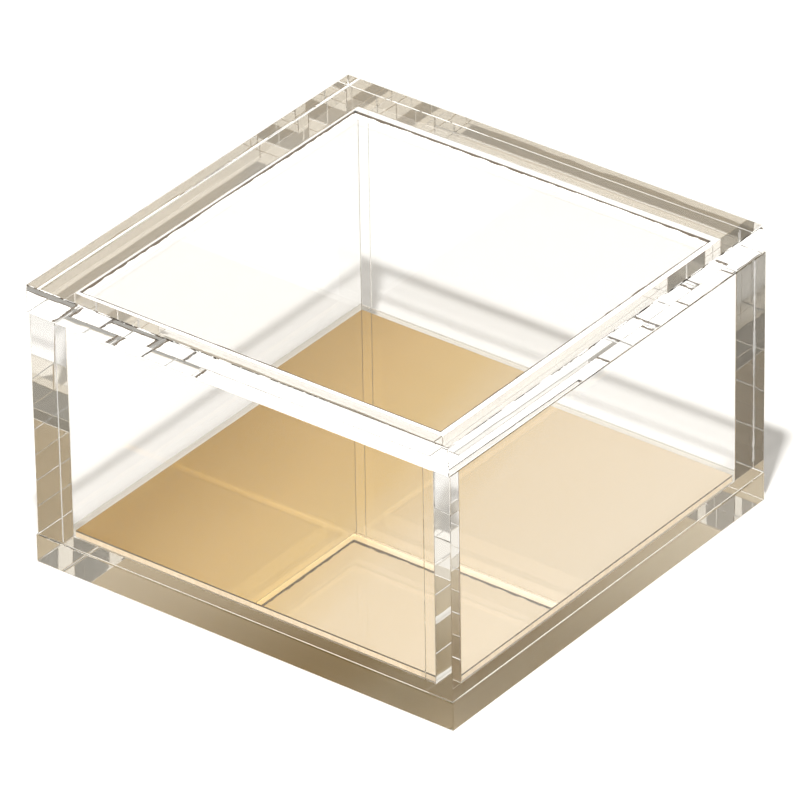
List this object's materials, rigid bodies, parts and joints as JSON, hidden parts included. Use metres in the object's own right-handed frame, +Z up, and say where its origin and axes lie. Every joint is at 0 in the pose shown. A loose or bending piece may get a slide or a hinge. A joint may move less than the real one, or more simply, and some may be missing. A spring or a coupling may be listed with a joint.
{
  "type": "clear acrylic keepsake box with lift-off lid",
  "caption": "Square clear acrylic box with thick bonded walls, a gold mirror panel on its floor and a loose clear lid with a locating plate that drops between the walls.",
  "frame": {"origin": "middle of the outline of the box, on the surface that the box stands on", "axes": "+Z up through the lid, +X to the right wall, +Y to the back wall"},
  "size_m": [0.102, 0.1024, 0.0631],
  "materials": {
    "clear_acrylic": "polished clear cast acrylic, sawn edges polished",
    "lid_acrylic": "polished clear cast acrylic, sawn edges polished",
    "gold_mirror": "gold mirrored acrylic, mirrored on its underside"
  },
  "bodies": {
    "box": {"base_plate": "clear_acrylic", "front_wall": "clear_acrylic", "back_wall": "clear_acrylic", "left_wall": "clear_acrylic", "right_wall": "clear_acrylic", "mirror_panel": "gold_mirror"},
    "lid": {"lid_plate": "lid_acrylic", "lid_locating_plate": "lid_acrylic"}
  },
  "joints": [
    {"name": "lid_lift", "type": "slide", "parent": "box", "child": "lid", "axis": [0, 0, 1], "range_m": [0, 0.07]}
  ]
}
